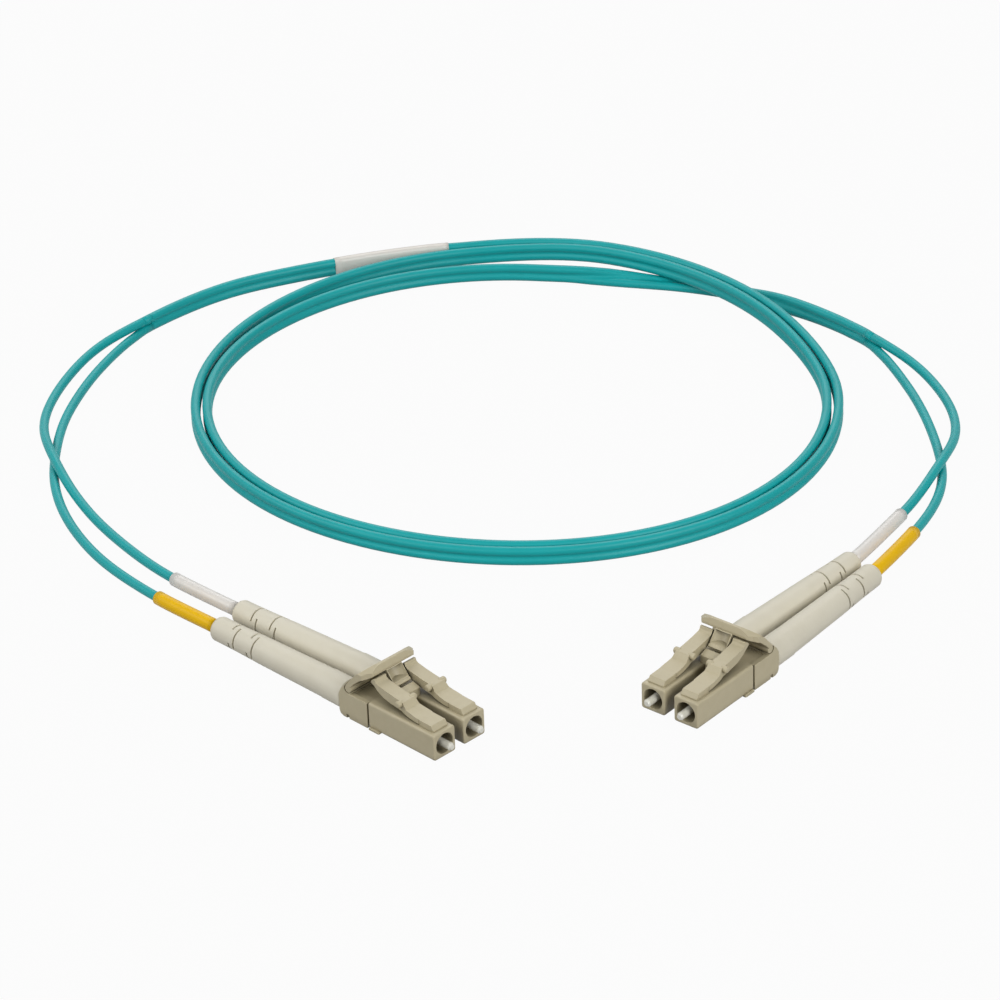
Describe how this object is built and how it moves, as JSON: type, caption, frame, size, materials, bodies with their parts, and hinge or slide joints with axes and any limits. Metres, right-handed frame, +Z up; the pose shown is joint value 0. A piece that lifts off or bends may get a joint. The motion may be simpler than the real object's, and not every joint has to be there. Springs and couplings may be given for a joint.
{
  "type": "fiber optic patch cord",
  "caption": "Duplex fibre patch cord in a flat two-loop coil, with clipped latching plug pairs, ceramic ferrules, triggers and long bend-relief boots at both ends.",
  "frame": {"origin": "bottom centre of the two plug pairs together, on the surface that the cord lies on", "axes": "+X to the right, +Y away from the plugs' noses towards the coil, +Z up"},
  "size_m": [0.1566, 0.1679, 0.0104],
  "materials": {
    "taupe_plastic": "fine satin moulding",
    "cream_rubber": "satin elastomer",
    "aqua_jacket": "satin cable jacket",
    "yellow_sleeve": "smooth heat-shrink",
    "white_sleeve": "smooth heat-shrink",
    "label": "plain film label",
    "ceramic": "polished",
    "steel": "plain"
  },
  "bodies": {
    "cord_and_housings": {"left_white_housing": "taupe_plastic", "left_white_spring": "steel", "left_white_back_post": "steel", "left_white_crimp_ring": "steel", "left_white_boot": "cream_rubber", "left_white_sleeve": "white_sleeve", "left_white_leg": "aqua_jacket", "left_yellow_housing": "taupe_plastic", "left_yellow_spring": "steel", "left_yellow_back_post": "steel", "left_yellow_crimp_ring": "steel", "left_yellow_boot": "cream_rubber", "left_yellow_sleeve": "yellow_sleeve", "left_yellow_leg": "aqua_jacket", "left_clip": "taupe_plastic", "right_white_housing": "taupe_plastic", "right_white_spring": "steel", "right_white_back_post": "steel", "right_white_crimp_ring": "steel", "right_white_boot": "cream_rubber", "right_white_sleeve": "white_sleeve", "right_white_leg": "aqua_jacket", "right_yellow_housing": "taupe_plastic", "right_yellow_spring": "steel", "right_yellow_back_post": "steel", "right_yellow_crimp_ring": "steel", "right_yellow_boot": "cream_rubber", "right_yellow_sleeve": "yellow_sleeve", "right_yellow_leg": "aqua_jacket", "right_clip": "taupe_plastic", "zip_lead_left": "aqua_jacket", "zip_coil": "aqua_jacket", "zip_lead_right": "aqua_jacket", "label": "label"},
    "left_white_latch_body": {"left_white_latch": "taupe_plastic"},
    "left_white_ferrule_body": {"left_white_ferrule": "ceramic", "left_white_ferrule_holder": "steel"},
    "left_yellow_latch_body": {"left_yellow_latch": "taupe_plastic"},
    "left_yellow_ferrule_body": {"left_yellow_ferrule": "ceramic", "left_yellow_ferrule_holder": "steel"},
    "left_trigger_body": {"left_trigger": "taupe_plastic"},
    "right_white_latch_body": {"right_white_latch": "taupe_plastic"},
    "right_white_ferrule_body": {"right_white_ferrule": "ceramic", "right_white_ferrule_holder": "steel"},
    "right_yellow_latch_body": {"right_yellow_latch": "taupe_plastic"},
    "right_yellow_ferrule_body": {"right_yellow_ferrule": "ceramic", "right_yellow_ferrule_holder": "steel"},
    "right_trigger_body": {"right_trigger": "taupe_plastic"}
  },
  "joints": [
    {"name": "left_trigger_press", "type": "hinge", "parent": "cord_and_housings", "child": "left_trigger_body", "pos_m": [-0.02766, -0.00892, 0.0053], "axis": [0.7157, 0.6984, 0], "range_deg": [0, 12], "stiffness_Nm_per_rad": 0.01},
    {"name": "left_white_latch_press", "type": "hinge", "parent": "cord_and_housings", "child": "left_white_latch_body", "pos_m": [-0.01522, -0.01719, 0.00533], "axis": [-0.7157, -0.6984, 0], "range_deg": [0, 6.6], "stiffness_Nm_per_rad": 0.01},
    {"name": "left_white_ferrule_slide", "type": "slide", "parent": "cord_and_housings", "child": "left_white_ferrule_body", "axis": [-0.6984, 0.7157, 0], "range_m": [0, 0.0009], "stiffness_N_per_m": 800, "springref_m": -0.0005, "deforming": ["left_white_spring"]},
    {"name": "left_yellow_latch_press", "type": "hinge", "parent": "cord_and_housings", "child": "left_yellow_latch_body", "pos_m": [-0.0197, -0.02156, 0.00533], "axis": [-0.7157, -0.6984, 0], "range_deg": [0, 6.6], "stiffness_Nm_per_rad": 0.01},
    {"name": "left_yellow_ferrule_slide", "type": "slide", "parent": "cord_and_housings", "child": "left_yellow_ferrule_body", "axis": [-0.6984, 0.7157, 0], "range_m": [0, 0.0009], "stiffness_N_per_m": 800, "springref_m": -0.0005, "deforming": ["left_yellow_spring"]},
    {"name": "right_trigger_press", "type": "hinge", "parent": "cord_and_housings", "child": "right_trigger_body", "pos_m": [0.02912, -0.00207, 0.0053], "axis": [0.7615, -0.6481, 0], "range_deg": [0, 12], "stiffness_Nm_per_rad": 0.01},
    {"name": "right_white_latch_press", "type": "hinge", "parent": "cord_and_housings", "child": "right_white_latch_body", "pos_m": [0.01728, -0.01117, 0.00533], "axis": [-0.7615, 0.6481, 0], "range_deg": [0, 6.6], "stiffness_Nm_per_rad": 0.01},
    {"name": "right_white_ferrule_slide", "type": "slide", "parent": "cord_and_housings", "child": "right_white_ferrule_body", "axis": [0.6481, 0.7615, 0], "range_m": [0, 0.0009], "stiffness_N_per_m": 800, "springref_m": -0.0005, "deforming": ["right_white_spring"]},
    {"name": "right_yellow_latch_press", "type": "hinge", "parent": "cord_and_housings", "child": "right_yellow_latch_body", "pos_m": [0.02204, -0.01522, 0.00533], "axis": [-0.7615, 0.6481, 0], "range_deg": [0, 6.6], "stiffness_Nm_per_rad": 0.01},
    {"name": "right_yellow_ferrule_slide", "type": "slide", "parent": "cord_and_housings", "child": "right_yellow_ferrule_body", "axis": [0.6481, 0.7615, 0], "range_m": [0, 0.0009], "stiffness_N_per_m": 800, "springref_m": -0.0005, "deforming": ["right_yellow_spring"]}
  ],
  "couplings": [
    {"joint": "left_white_latch_press", "follows": "left_trigger_press", "ratio": 0.55},
    {"joint": "left_yellow_latch_press", "follows": "left_trigger_press", "ratio": 0.55},
    {"joint": "right_white_latch_press", "follows": "right_trigger_press", "ratio": 0.55},
    {"joint": "right_yellow_latch_press", "follows": "right_trigger_press", "ratio": 0.55}
  ]
}
